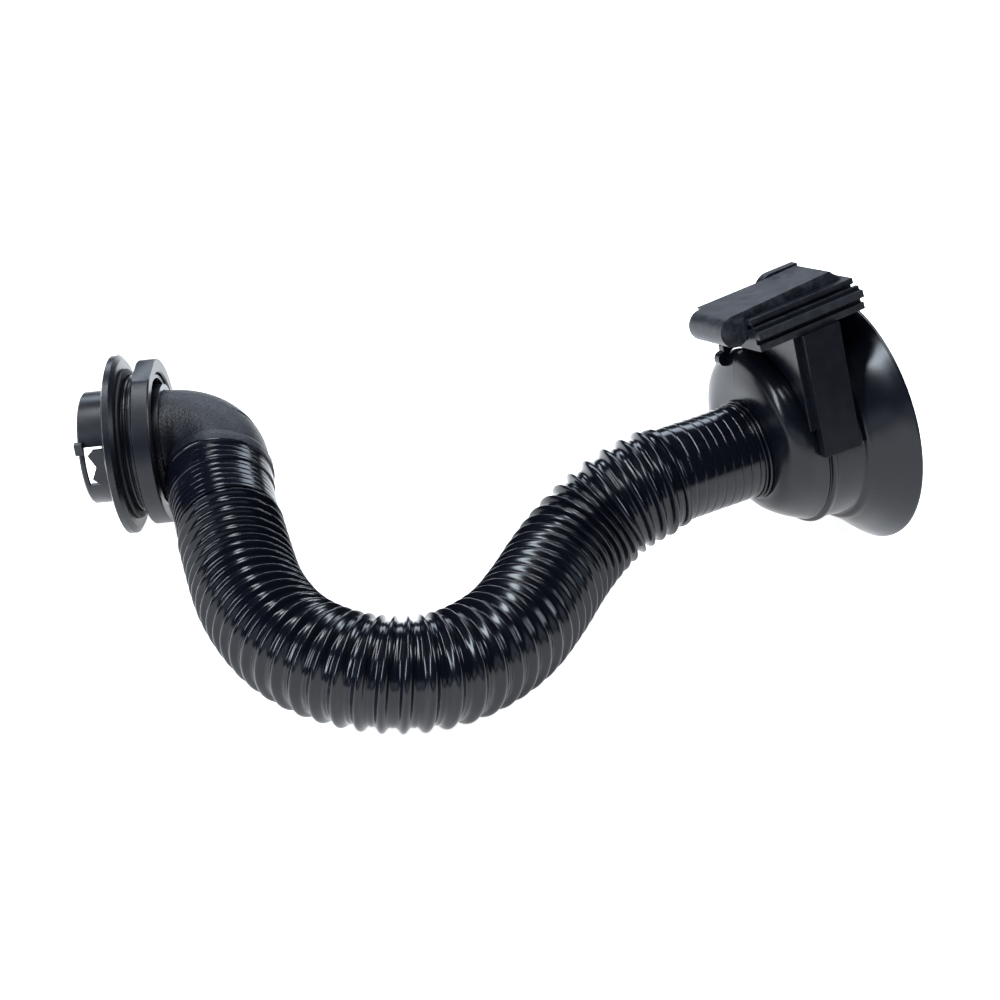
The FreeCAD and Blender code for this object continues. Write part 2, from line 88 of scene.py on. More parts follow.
swivel = joints["elbow_swivel"]
fitting_x = Vector(swivel["axis"]).normalized()
fitting_y = Vector((0, 1, 0))
fitting = frame_from(swivel["pos_m"], fitting_x, fitting_y, fitting_x.cross(fitting_y))

MOUTH_R = 107.5 * MM
BOOT_WALL = 3.6 * MM
boot_x = Vector(mounts["mouth_edge"]["axis"]).normalized()
near = Vector(joints["lever_hinge"]["axis"]).normalized()
boot_up = near.cross(boot_x)
mouth_centre = Vector(mounts["mouth_edge"]["pos_m"]) - boot_up * (MOUTH_R - BOOT_WALL / 2)
boot = frame_from(mouth_centre, boot_x, -near, boot_up)
print("boot stands at", [round(v, 3) for v in mouth_centre])

# %% [markdown]
# The camera comes before any modelling, because a piece is only as good as it looks from where it is
# seen. A long lens from a little over two metres keeps the perspective calm, as in a catalogue.

# %% Camera
camera_data = bpy.data.cameras.new("catalogue_lens")
camera_data.lens = 86.4
camera_data.sensor_width = 36
camera = bpy.data.objects.new("camera", camera_data)
camera.location = (0.0065, -1.7586, 1.0415)
camera.rotation_euler = Euler((math.radians(60), 0, 0))
bpy.context.scene.collection.objects.link(camera)
bpy.context.scene.camera = camera

# %% [markdown]
# The hose is a real length of something flexible, so its line is drawn first and the ridges follow it.
# Its route repeats the model's points, and a NURBS curve rounds them into one smooth bend. Its first
# point lies a little way inside the elbow's cuff, as the end of a wound hose does. The cuff has a short
# line of its own, because it starts to turn before the hose does.

# %% The line of the hose
CUFF_END = (-0.21187, -0.09318, 0.05604)
INSIDE_CUFF = 12 * MM
ROUTE = [
    (-0.21489, -0.08183, 0.05849),
    (-0.1995, -0.1397, 0.0460),
    (-0.1825, -0.1977, 0.0446),
    (-0.1475, -0.2587, 0.0446),
    (-0.0935, -0.2907, 0.0446),
    (-0.0355, -0.2887, 0.0446),
    (0.0105, -0.2457, 0.0446),
    (0.0345, -0.1917, 0.0446),
    (0.0545, -0.1387, 0.0490),
    (0.0795, -0.1047, 0.0630),
    (0.1102, -0.0895, 0.0840),
    (0.1370, -0.0765, 0.0895),
]


def smooth_line(name, points):
    """Points along the NURBS curve that has these points as its control points."""
    data = bpy.data.curves.new(name, "CURVE")
    data.dimensions = "3D"
    data.resolution_u = 48
    spline = data.splines.new("NURBS")
    spline.points.add(len(points) - 1)
    for point, place in zip(spline.points, points):
        point.co = (*place, 1)
    spline.order_u = 3
    spline.use_endpoint_u = True
    curve = bpy.data.objects.new(name, data)
    bpy.context.scene.collection.objects.link(curve)
    bpy.context.view_layer.update()
    mesh = bpy.data.meshes.new_from_object(curve.evaluated_get(bpy.context.evaluated_depsgraph_get()))
    line = [v.co.copy() for v in mesh.vertices]
    bpy.data.objects.remove(curve)
    bpy.data.curves.remove(data)
    bpy.data.meshes.remove(mesh)
    return line


def line_length(line):
    return sum((b - a).length for a, b in zip(line, line[1:]))


hose_line = smooth_line("hose_line", ROUTE)
hose_length = line_length(hose_line)
print(f"hose line: {len(hose_line)} points, {hose_length:.3f} m")

# %% [markdown]
# Two helpers build nearly every soft piece. `skin` joins rings of points into a closed shell, which
# keeps its wall thickness in view wherever the piece is open. `Stations` walks along a line with a
# frame that never twists, so that a groove stays straight where the line bends.

# %% Helpers: skin, stations and rings
AROUND = 96
CUFF_AROUND = 160


def skin(name, rings):
    """A closed shell: each ring is joined to the next and the last to the first."""
    count = len(rings[0])
    verts = [p for ring in rings for p in ring]
    faces = []
    for i in range(len(rings)):
        a, b = i * count, (i + 1) % len(rings) * count
        for j in range(count):
            k = (j + 1) % count
            faces.append((a + j, a + k, b + k, b + j))
    mesh = bpy.data.meshes.new(name)
    mesh.from_pydata(verts, [], faces)
    mesh.update()
    work = bmesh.new()
    work.from_mesh(mesh)
    bmesh.ops.recalc_face_normals(work, faces=work.faces)
    work.to_mesh(mesh)
    work.free()
    mesh.polygons.foreach_set("use_smooth", [True] * len(mesh.polygons))
    piece = bpy.data.objects.new(name, mesh)
    bpy.context.scene.collection.objects.link(piece)
    return piece


class Stations:
    """Places along a line, each with two directions across it that don't twist."""

    def __init__(self, line, first_side=(0, 0, 1)):
        self.line = line
        self.along = [0.0]
        for a, b in zip(line, line[1:]):
            self.along.append(self.along[-1] + (b - a).length)
        self.length = self.along[-1]
        side = Vector(first_side)
        self.frames = []
        for i in range(len(line)):
            ahead = (line[min(i + 1, len(line) - 1)] - line[max(i - 1, 0)]).normalized()
            side = (side - ahead * side.dot(ahead)).normalized()
            self.frames.append((ahead, side, ahead.cross(side)))

    def at(self, distance):
        """The point and the two side directions at a distance, which may be just past either end."""
        i = 0
        low, high = 0, len(self.along) - 2
        while low <= high:
            i = (low + high) // 2
            if self.along[i + 1] < distance:
                low = i + 1
            elif self.along[i] > distance:
                high = i - 1
            else:
                break
        step = self.along[i + 1] - self.along[i]
        t = (distance - self.along[i]) / step
        point = self.line[i].lerp(self.line[i + 1], t)
        t = min(max(t, 0.0), 1.0)
        sides = [self.frames[i][k].lerp(self.frames[i + 1][k], t).normalized() for k in (1, 2)]
        return point, sides[0], sides[1]

    def ring(self, distance, radius, around=AROUND):
        """A ring of points; radius is a number or a function of the turn, from 0 to 1."""
        point, side, other = self.at(distance)
        ring = []
        for j in range(around):
            turn = j / around
            angle = 2 * math.pi * turn
            r = radius(turn) if callable(radius) else radius
            ring.append(point + side * (r * math.cos(angle)) + other * (r * math.sin(angle)))
        return ring


def spread(start, end, count):
    return [start + (end - start) * i / (count - 1) for i in range(count)]


def smooth_step(x):
    x = min(max(x, 0.0), 1.0)
    return x * x * (3 - 2 * x)


# %% [markdown]
# One turn of the corrugation has a rounded crown over the stiff cord inside it, and a valley of thin
# rubber with a fine raised line where the strip laps over itself. The ridges are one long helix, as
# they are on a wound hose, so the radius depends on how far along the hose and how far round it a
# point is.

# %% The hose
HOSE_R = 44 * MM
RIDGE_DEPTH = 4.8 * MM
RIDGES = 46
HOSE_WALL = 2.2 * MM
HOSE_AROUND = 128
ridge_pitch = (hose_length - INSIDE_CUFF) / RIDGES
TURN_PROFILE = [
    (0.00, 0.10), (0.07, 0.02), (0.16, 0.03), (0.26, 0.30), (0.36, 0.76),
    (0.44, 0.96), (0.50, 1.00), (0.56, 0.96), (0.64, 0.76), (0.74, 0.30),
    (0.84, 0.03), (0.93, 0.02), (1.00, 0.10),
]


def through(profile, x):
    """A smooth curve through (position, value) pairs."""
    for i in range(len(profile) - 1):
        x0, y0 = profile[i]
        x1, y1 = profile[i + 1]
        if x <= x1:
            before = profile[i - 1] if i else (x0 - (x1 - x0), y0)
            after = profile[i + 2] if i + 2 < len(profile) else (x1 + (x1 - x0), y1)
            slope0 = (y1 - before[1]) / (x1 - before[0])
            slope1 = (after[1] - y0) / (after[0] - x0)
            t = (x - x0) / (x1 - x0)
            h = x1 - x0
            return (
                (2 * t**3 - 3 * t**2 + 1) * y0
                + (t**3 - 2 * t**2 + t) * h * slope0
                + (3 * t**2 - 2 * t**3) * y1
                + (t**3 - t**2) * h * slope1
            )
    return profile[-1][1]


def corrugated_hose():
    walk = Stations(hose_line)
    per_ridge = 18
    valley = HOSE_R - RIDGE_DEPTH
    end_run = ridge_pitch * 0.45

    def outer(distance):
        seen = distance - INSIDE_CUFF
        fade = smooth_step(seen / end_run) * smooth_step((hose_length - distance) / end_run)

        def radius(turn):
            phase = (seen / ridge_pitch + turn + 0.1) % 1.0
            return valley + RIDGE_DEPTH * through(TURN_PROFILE, phase) * fade

        return radius

    outside = spread(0.0, hose_length, RIDGES * per_ridge + 1)
    inside = spread(hose_length, 0.0, RIDGES * 3)
    rings = [walk.ring(d, outer(d), HOSE_AROUND) for d in outside]
    rings += [walk.ring(d, valley - HOSE_WALL, HOSE_AROUND) for d in inside]
    return skin("corrugated_hose", rings)


hose = corrugated_hose()
print(f"hose: {RIDGES} turns, {ridge_pitch * 1000:.1f} mm apart, {len(hose.data.polygons)} faces")

# %% [markdown]
# The cuff on the elbow is a soft sleeve stretched over the outlet. Its rolled lip grips the elbow, a
# thicker upper sleeve ends in a small step, and below the step the hose's helix shows through as fine
# grooves. The cuff is built like the hose, along its own short line from the elbow's outlet.

# %% The elbow's cuff
ELBOW_CENTRE = 84 * MM
ELBOW_DIP = math.radians(18)
CUFF_START = 46 * MM
CUFF_KNEE = 60 * MM
CUFF_R = 42.5 * MM
CUFF_BORE_R = 38.2 * MM


def outlet_point(distance):
    """A point on the elbow's outlet axis."""
    down = Vector((ELBOW_CENTRE, -distance * math.cos(ELBOW_DIP), -distance * math.sin(ELBOW_DIP)))
    return fitting @ down


cuff_line = smooth_line("cuff_line", [outlet_point(CUFF_START), outlet_point(CUFF_KNEE), CUFF_END])
cuff_walk = Stations(cuff_line)
cuff_length = cuff_walk.length
SLEEVE_START = 1.5 * MM
SLEEVE_END = 27 * MM
SLEEVE_RISE = 1.25 * MM
GROOVE_PITCH = 6.4 * MM
LIP_AT = 2.2 * MM
LIP_MINOR_R = 2.5 * MM


def groove(phase, width):
    """1 at a groove's middle and 0 outside it; phase runs from 0 to 1 over a pitch."""
    away = abs((phase + 0.5) % 1.0 - 0.5)
    return math.exp(-((away / width) ** 2))


def shell_along(name, walk, start, end, steps, outer, inner):
    """A tube along a line between two distances, with rounded ends; outer is a function."""
    ease = 0.9 * MM
    inside_steps = 12
    rings = []
    for distance in spread(start, end, steps):
        from_end = max(0.0, min(distance - start, end - distance))
        drop = ease * (1 - math.sqrt(1 - (1 - min(from_end / ease, 1.0)) ** 2))

        def radius(turn, distance=distance, drop=drop):
            return outer(distance, turn) - drop

        rings.append(walk.ring(distance, radius, CUFF_AROUND))
    rings += [walk.ring(d, inner, CUFF_AROUND) for d in spread(end, start, inside_steps)]
    return skin(name, rings)


def cuff_outer(distance, turn):
    phase = distance / GROOVE_PITCH + turn
    lumps = noise.noise(Vector((distance * 60, math.cos(turn * math.tau), math.sin(turn * math.tau))))
    return CUFF_R - 0.45 * MM * groove(phase, 0.07) + 0.25 * MM * lumps


def sleeve_outer(distance, turn):
    phase = distance / GROOVE_PITCH + turn + 0.35
    bumps = noise.noise(
        Vector((distance * 260, 5 * math.cos(turn * math.tau), 5 * math.sin(turn * math.tau)))
    )
    return CUFF_R + SLEEVE_RISE - 0.3 * MM * groove(phase, 0.06) + 0.12 * MM * bumps


def rolled_lip(name, walk, distance, major, minor):
    """A round bead about the line."""
    bead_points = 16
    rings = []
    for i in range(bead_points):
        angle = math.tau * i / bead_points
        rings.append(walk.ring(distance + minor * math.cos(angle), major + minor * math.sin(angle)))
    return skin(name, rings)


elbow_cuff = shell_along("elbow_cuff", cuff_walk, 0.0, cuff_length, 200, cuff_outer, CUFF_BORE_R)
elbow_sleeve = shell_along(
    "elbow_cuff_sleeve", cuff_walk, SLEEVE_START, SLEEVE_END, 120, sleeve_outer, CUFF_R - 0.6 * MM
)
elbow_lip = rolled_lip("elbow_cuff_lip", cuff_walk, LIP_AT, CUFF_R + 0.2 * MM, LIP_MINOR_R)
print(f"elbow cuff: {cuff_length * 1000:.0f} mm long")

# %% [markdown]
# The boot's cuff is glossy, and its grooves are wider apart. It starts with a small collar in line with
# the hose, straightens, and slides into the boot's neck, where two thin rings mark the joint.

# %% The boot's cuff
RIGHT_CUFF_R = 39.4 * MM
RIGHT_CUFF_BORE_R = 36 * MM
NECK_X = -93 * MM
RIGHT_CUFF_LENGTH = 82 * MM
NECK_FACE = -97 * MM
BOOT_GROOVE_PITCH = 8.4 * MM
COLLAR_LENGTH = 4 * MM
COLLAR_RISE = 2.4 * MM
IN_LINE_WITH_HOSE = 16 * MM
STRAIGHTENS_OVER = 45 * MM
boot_axis = [boot @ Vector((x, 0, 0)) for x in spread(NECK_X - RIGHT_CUFF_LENGTH, 0.0, 40)]
boot_walk = Stations(boot_axis, boot_up)
hose_heading = (Vector(ROUTE[-1]) - Vector(ROUTE[-2])).normalized()
boot_cuff_line = smooth_line(
    "boot_cuff_line",
    [
        ROUTE[-1],
        Vector(ROUTE[-1]) + hose_heading * IN_LINE_WITH_HOSE,
        boot @ Vector((NECK_X - STRAIGHTENS_OVER, 0, 0)),
        boot @ Vector((NECK_X, 0, 0)),
    ],
)
boot_cuff_walk = Stations(boot_cuff_line, boot_up)


def right_cuff_outer(distance, turn):
    phase = distance / BOOT_GROOVE_PITCH + turn + 0.4
    lumps = noise.noise(
        Vector((distance * 45, 1.3 * math.cos(turn * math.tau), 1.3 * math.sin(turn * math.tau)))
    )
    collar = COLLAR_RISE * (1 - smooth_step((distance - COLLAR_LENGTH) / (COLLAR_LENGTH / 2)))
    return RIGHT_CUFF_R - 0.5 * MM * groove(phase, 0.075) + 0.3 * MM * lumps + collar


boot_cuff = shell_along(
    "boot_cuff", boot_cuff_walk, 0.0, boot_cuff_walk.length, 240, right_cuff_outer, RIGHT_CUFF_BORE_R
)
neck_at = NECK_FACE - (NECK_X - RIGHT_CUFF_LENGTH)
neck_ring = rolled_lip("neck_ring_bead", boot_walk, neck_at - 1.4 * MM, RIGHT_CUFF_R + 1.0 * MM, 1.5 * MM)
neck_ring_inner = rolled_lip(
    "neck_ring_inner_bead", boot_walk, neck_at - 5.2 * MM, RIGHT_CUFF_R + 0.5 * MM, 1.1 * MM
)
print(f"boot cuff: {boot_cuff_walk.length * 1000:.0f} mm long")

# %% [markdown]
# The hose is one free length with a cuff at each end. Its exit is declared above the cuff's axis, because
# the axis of a wide bore is a long way from any wall. Its far end really goes back into the object, in
# the boot's cuff. Each soft piece joins the root body, takes the place of the imported node it stands
# for, which is hidden, and gets its finish slot.

for piece, node, slot in (
    (hose, "hose", "hose_rubber"),
    (elbow_cuff, "left_cuff", "cuff_rubber"),
    (elbow_sleeve, "cuff_band", "cuff_rubber"),
    (elbow_lip, "cuff_lip", "cuff_rubber"),
    (boot_cuff, "right_cuff", "cuff_rubber"),
    (neck_ring, "neck_ring", "boot_rubber"),
    (neck_ring_inner, "neck_ring_inner", "boot_rubber"),
):
    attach(piece, "root")
    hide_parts(node)
    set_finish(piece, slot)

# %% [markdown]
# The boot is one rubber moulding: a domed shoulder that bulges towards the bracket, a bead, a plain
# band, a second bead and a flared skirt. It is drawn as one outline of (x, radius, lift, reach) points
# in millimetres: lift moves that ring towards the bracket, and reach is how far the corner's rounding
# runs. A thin seam along the top is raised in the mesh, where the two halves of the mould met.

# %% The boot
BEND_STEPS = 6
NECK_BORE_R = 39.5
SEAM_END_X = -34
SEAM_HEIGHT = 0.55
SEAM_WIDTH = 0.9
BOOT_AROUND = 224
BOOT_OUTLINE = [
    (-97.0, NECK_BORE_R, 0.0, 0.0),
    (-97.6, 52.0, 7.5, 9.0),
    (-92.5, 66.0, 12.5, 9.0),
    (-80.0, 72.6, 10.0, 12.0),
    (-63.5, 71.6, 0.5, 2.0),
    (-61.8, 70.6, 0.0, 0.9),
    (-60.8, 74.4, 0.0, 1.4),
    (-57.0, 74.4, 0.0, 1.4),
    (-56.0, 72.0, 0.0, 0.9),
    (-33.0, 76.0, 0.0, 1.2),
    (-31.0, 80.6, 0.0, 2.0),
    (-27.5, 82.6, 0.0, 2.0),
    (-14.8, 92.6, 0.0, 16.0),
    (-5.0, 102.6, 0.0, 12.0),
    (0.0, 107.3, 0.0, 0.0),
]


def rounded(outline):
    """The outline with each corner rounded; the last number of a point is how far the arc reaches."""
    made = [Vector(outline[0][:3])]
    for before, here, after in zip(outline, outline[1:], outline[2:]):
        a, p, b = Vector(before[:3]), Vector(here[:3]), Vector(after[:3])
        reach = min(here[3], 0.48 * (p - a).length, 0.48 * (b - p).length)
        start, end = p + (a - p).normalized() * reach, p + (b - p).normalized() * reach
        for i in range(BEND_STEPS + 1):
            t = i / BEND_STEPS
            made.append(start * (1 - t) ** 2 + p * (2 * t * (1 - t)) + end * t**2)
    made.append(Vector(outline[-1][:3]))
    return made


def divided(points, longest):
    """The same line with no run longer than a given length."""
    made = [points[0]]
    for a, b in zip(points, points[1:]):
        pieces = max(1, math.ceil((b - a).length / longest))
        made += [a.lerp(b, (i + 1) / pieces) for i in range(pieces)]
    return made


def boot_skin():
    outer = divided(rounded(BOOT_OUTLINE), 2.5)
    wall = BOOT_WALL / MM
    mouth = [(0.9, 107.3, 0), (1.1, 106.2, 0), (0.2, MOUTH_R / MM - wall, 0)]
    inner = []
    for p in reversed(divided(rounded(BOOT_OUTLINE[1:]), 6.0)):
        shift = wall if p.x < -80 else wall * 0.35
        inner.append(Vector((p.x + shift, max(p.y - wall, NECK_BORE_R), p.z)))
    inner = [p for p in inner if p.x < -1.0]
    neck_inside = Vector((NECK_FACE / MM + wall, NECK_BORE_R, 0))
    rings = []
    for p in outer + [Vector(place) for place in mouth] + inner + [neck_inside]:
        ring = []
        has_seam = p.x < SEAM_END_X and p in outer
        for j in range(BOOT_AROUND):
            angle = math.tau * j / BOOT_AROUND
            seam = 0.0
            if has_seam:
                off = abs(math.remainder(angle, math.tau)) * p.y
                seam = SEAM_HEIGHT * math.exp(-((off / SEAM_WIDTH) ** 2))
            radius = (p.y + seam) * MM
            across = radius * math.sin(angle)
            up = radius * math.cos(angle) + p.z * MM
            ring.append(boot @ Vector((p.x * MM, across, up)))
        rings.append(ring)
    return skin("boot_moulding", rings)


boot_moulding = boot_skin()
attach(boot_moulding, "root")
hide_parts("boot_shell")
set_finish(boot_moulding, "boot_rubber")
print(f"boot: {len(boot_moulding.data.polygons)} faces")

# %% [markdown]
# Hard mouldings have no knife edges: the tool that made them was cut with a small radius, and that
# radius is what catches the light. The imported solids have sharp edges, so the pieces that show are
# copied, their flat faces are joined up again, and their edges are rounded by a bevel. The copy stands
# for the original, in the same place and at the same size. The round elbow, and the pieces inside the
# others, stay as they are imported. The boot's ribs and its post are eased in the same way.

# %% Pieces with eased edges
EASED = {
    "spigot_body": (0.45, "moulded_plastic"),
    "lock_nut": (0.9, "ring_plastic"),
    "thrust_washer": (0.4, "ring_plastic"),
    "flange_gasket": (0.6, "seal_rubber"),
    "latch_tongue": (0.5, "moulded_plastic"),
    "latch_stop": (0.5, "moulded_plastic"),
    "outlet_collar": (0.5, "moulded_plastic"),
    "rail": (0.6, "bracket_plastic"),
    "base_plate": (0.9, "bracket_plastic"),
    "catch_ear": (1.2, "bracket_plastic"),
    "lever": (1.5, "bracket_plastic"),
    "hinge_knuckle": (0.6, "bracket_plastic"),
    "near_rib": (0.8, "boot_rubber"),
    "far_rib": (0.8, "boot_rubber"),
    "cross_rib": (0.8, "boot_rubber"),
    "bracket_post": (1.2, "boot_rubber"),
}
FLAT = math.radians(0.8)
CREASE = math.radians(32)


def eased(node, width):
    """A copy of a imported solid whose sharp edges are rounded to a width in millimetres."""
    source = frame["nodes"][node]
    work = bmesh.new()
    made = {}
    for face in source.data.polygons:
        corners = []
        for i in face.vertices:
            place = source.data.vertices[i].co
            key = tuple(round(c, 6) for c in place)
            if key not in made:
                made[key] = work.verts.new(place)
            corners.append(made[key])
        if len(set(corners)) == len(corners) and work.faces.get(corners) is None:
            work.faces.new(corners)
    bmesh.ops.recalc_face_normals(work, faces=work.faces)
    bmesh.ops.dissolve_limit(work, angle_limit=FLAT, verts=work.verts, edges=work.edges)
    mesh = bpy.data.meshes.new(f"{node}_eased")
    work.to_mesh(mesh)
    work.free()
    mesh.polygons.foreach_set("use_smooth", [True] * len(mesh.polygons))
    piece = bpy.data.objects.new(f"{node}_eased", mesh)
    bpy.context.scene.collection.objects.link(piece)
    bevel = piece.modifiers.new("eased_edges", "BEVEL")
    bevel.width = width * MM
    bevel.segments = 3
    bevel.limit_method = "ANGLE"
    bevel.angle_limit = CREASE
    bevel.harden_normals = True
    bevel.use_clamp_overlap = True
    return piece


node_body = {n: body for body, nodes in record["behaviour"]["bodies"].items() for n in nodes}
hard = {}
for node, (width, slot) in EASED.items():
    hard[node] = eased(node, width)
    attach(hard[node], node_body[node])
    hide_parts(node)
    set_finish(hard[node], slot)
print(f"{len(hard)} hard pieces with eased edges")

# %% [markdown]
# A finish is more than a colour. Three effects come back in every one of them, so each is a node group
# with its own inputs: a fine grain that breaks up the gloss, wear that lightens corners, and dust that
# settles on what faces up. A group only puts out numbers that vary over the surface, and the shader
# itself stays in the material.

# %% Shared effects
def new_group(name, inputs, outputs):
    tree = bpy.data.node_groups.new(name, "ShaderNodeTree")
    for label, value in inputs.items():
        socket = tree.interface.new_socket(label, in_out="INPUT", socket_type="NodeSocketFloat")
        socket.default_value = value
    for label in outputs:
        tree.interface.new_socket(label, in_out="OUTPUT", socket_type="NodeSocketFloat")
    return tree, tree.nodes.new("NodeGroupInput"), tree.nodes.new("NodeGroupOutput")


def math_node(tree, operation, a, b, clamp=False):
    """A Math node that joins two sockets."""
    node = tree.nodes.new("ShaderNodeMath")
    node.operation = operation
    node.use_clamp = clamp
    for socket, value in zip(node.inputs, (a, b)):
        tree.links.new(value, socket)
    return node.outputs[0]


def noise_node(tree, scale, detail, roughness=0.5):
    """Noise over the piece; scale is a socket or a number."""
    node = tree.nodes.new("ShaderNodeTexNoise")
    node.inputs["Detail"].default_value = detail
    node.inputs["Roughness"].default_value = roughness
    if hasattr(scale, "is_output"):
        tree.links.new(scale, node.inputs["Scale"])
    else:
        node.inputs["Scale"].default_value = scale
    place = tree.nodes.new("ShaderNodeTexCoord").outputs["Object"]
    tree.links.new(place, node.inputs["Vector"])
    return node.outputs["Fac"]


def ranged(tree, value, low, high, to_low=0.0, to_high=1.0):
    node = tree.nodes.new("ShaderNodeMapRange")
    tree.links.new(value, node.inputs["Value"])
    for label, number in (("From Min", low), ("From Max", high), ("To Min", to_low), ("To Max", to_high)):
        node.inputs[label].default_value = number
    return node.outputs["Result"]


def make_grain():
    """Fine spark-eroded grain over a slow unevenness of the moulded surface."""
    tree, given, gives = new_group("moulded_grain", {"Fineness": 1500.0, "Unevenness": 0.3}, ["Height"])
    fine = noise_node(tree, given.outputs["Fineness"], 3.0, 0.6)
    slow = noise_node(tree, 38.0, 2.0)
    slow_part = math_node(tree, "MULTIPLY", slow, given.outputs["Unevenness"])
    tree.links.new(math_node(tree, "ADD", fine, slow_part), gives.inputs["Height"])
    return tree


def make_wear():
    """Corners rubbed pale, broken up so that the rub comes and goes."""
    tree, given, gives = new_group("corner_wear", {"Amount": 0.5}, ["Mask"])
    corner = tree.nodes.new("ShaderNodeNewGeometry").outputs["Pointiness"]
    sharp = ranged(tree, corner, 0.52, 0.62)
    broken = ranged(tree, noise_node(tree, 120.0, 4.0, 0.65), 0.42, 0.62)
    both = math_node(tree, "MULTIPLY", sharp, broken, clamp=True)
    tree.links.new(math_node(tree, "MULTIPLY", both, given.outputs["Amount"]), gives.inputs["Mask"])
    return tree


def make_dust():
    """A thin film on what faces up, and faint handling smears everywhere."""
    tree, given, gives = new_group("dust_film", {"Dust": 0.3, "Smears": 0.3}, ["Film", "Smear"])
    normal = tree.nodes.new("ShaderNodeNewGeometry").outputs["Normal"]
    parts = tree.nodes.new("ShaderNodeSeparateXYZ")
    tree.links.new(normal, parts.inputs[0])
    facing_up = ranged(tree, parts.outputs["Z"], 0.1, 1.0)
    patches = ranged(tree, noise_node(tree, 55.0, 5.0, 0.6), 0.4, 0.7)
    film = math_node(tree, "MULTIPLY", facing_up, patches, clamp=True)
    tree.links.new(math_node(tree, "MULTIPLY", film, given.outputs["Dust"]), gives.inputs["Film"])
    streaks = ranged(tree, noise_node(tree, 16.0, 6.0, 0.7), 0.35, 0.7)
    tree.links.new(math_node(tree, "MULTIPLY", streaks, given.outputs["Smears"]), gives.inputs["Smear"])
    return tree


effects = {"grain": make_grain(), "wear": make_wear(), "dust": make_dust()}
print("effects:", ", ".join(sorted(tree.name for tree in effects.values())))

# %% [markdown]
# Every piece that shows is black, so the finishes differ in how they return light. The hose and the
# cuffs are nearly wet, the boot, the flange and the bracket are satin, the elbow is matt with a visible
# grain, and the seals are dull. The black itself is slightly blue.

# %% Finishes
def place_group(tree, group, **values):
    node = tree.nodes.new("ShaderNodeGroup")
    node.node_tree = group
    for label, value in values.items():
        node.inputs[label].default_value = value
    return node


def mixed(tree, factor, dark, light):
    node = tree.nodes.new("ShaderNodeMix")
    node.data_type = "RGBA"
    tree.links.new(factor, node.inputs["Factor"])
    node.inputs["A"].default_value = (*dark, 1)
    node.inputs["B"].default_value = (*light, 1)
    return node.outputs["Result"]


def finish(name, dark, pale, gloss, dull, fineness, depth, uneven, wear, dust, smears, metal=0.0):
    """A finish: its two colours, its roughness when clean and when smeared, and its surface."""
    material = bpy.data.materials.new(name)
    material.use_nodes = True
    tree = material.node_tree
    shader = tree.nodes["Principled BSDF"]
    shader.inputs["Metallic"].default_value = metal
    shader.inputs["IOR"].default_value = 1.5
    shader.inputs["Specular IOR Level"].default_value = 0.27
    worn = place_group(tree, effects["wear"], Amount=wear)
    film = place_group(tree, effects["dust"], Dust=dust, Smears=smears)
    pale_share = math_node(tree, "ADD", worn.outputs["Mask"], film.outputs["Film"], clamp=True)
    tree.links.new(mixed(tree, pale_share, dark, pale), shader.inputs["Base Color"])
    dull_share = math_node(tree, "ADD", pale_share, film.outputs["Smear"], clamp=True)
    tree.links.new(ranged(tree, dull_share, 0.0, 1.0, gloss, dull), shader.inputs["Roughness"])
    surface = place_group(tree, effects["grain"], Fineness=fineness, Unevenness=uneven)
    bump = tree.nodes.new("ShaderNodeBump")
    bump.inputs["Strength"].default_value = 0.6
    bump.inputs["Distance"].default_value = depth * MM
    tree.links.new(surface.outputs["Height"], bump.inputs["Height"])
    tree.links.new(bump.outputs["Normal"], shader.inputs["Normal"])
    return material


INK = (0.0022, 0.0026, 0.0052)
SOOT = (0.0035, 0.0040, 0.0068)
CHALK = (0.050, 0.055, 0.070)
STEEL = (0.20, 0.20, 0.21)
finishes = {
    "hose_rubber": finish("glossy_hose", INK, CHALK, 0.14, 0.26, 900, 0.03, 1.0, 0.10, 0.03, 0.40),
    "cuff_rubber": finish("glossy_cuff", INK, CHALK, 0.13, 0.26, 800, 0.04, 2.0, 0.10, 0.03, 0.40),
    "boot_rubber": finish("satin_boot", INK, CHALK, 0.19, 0.34, 700, 0.05, 1.6, 0.12, 0.04, 0.45),
    "moulded_plastic": finish("matt_elbow", SOOT, CHALK, 0.38, 0.52, 430, 1.1, 0.3, 0.25, 0.08, 0.30),
    "flange_plastic": finish("smooth_flange", SOOT, CHALK, 0.26, 0.44, 900, 0.08, 0.6, 0.30, 0.06, 0.40),
    "ring_plastic": finish("satin_ring", SOOT, CHALK, 0.30, 0.48, 900, 0.08, 0.5, 0.25, 0.08, 0.30),
    "bracket_plastic": finish("satin_bracket", SOOT, CHALK, 0.32, 0.50, 800, 0.10, 0.6, 0.35, 0.08, 0.45),
    "seal_rubber": finish("dull_seal", SOOT, CHALK, 0.55, 0.70, 700, 0.10, 0.5, 0.10, 0.10, 0.30),
    "spring_steel": finish("dark_steel", STEEL, CHALK, 0.30, 0.50, 600, 0.02, 0.3, 0.20, 0.10, 0.30, 1.0),
}


def paint(piece, slot):
    piece.data.materials.clear()
    piece.data.materials.append(finishes[slot])


for piece in list(bpy.context.scene.objects):
    if "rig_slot" in piece:
        paint(piece, piece["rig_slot"])
kept = {
    "elbow": "moulded_plastic",
    "elbow_seal_1": "seal_rubber",
    "elbow_seal_2": "seal_rubber",
    "retaining_ring": "ring_plastic",
    "cuff_stiffener": "moulded_plastic",
    "lever_pin": "spring_steel",
    "lever_spring": "spring_steel",
}
for node, slot in kept.items():
    paint(frame["nodes"][node], slot)
for node in ("spigot_body", "latch_tongue", "latch_stop"):
    paint(hard[node], "flange_plastic")
print(f"{len(finishes)} finishes")

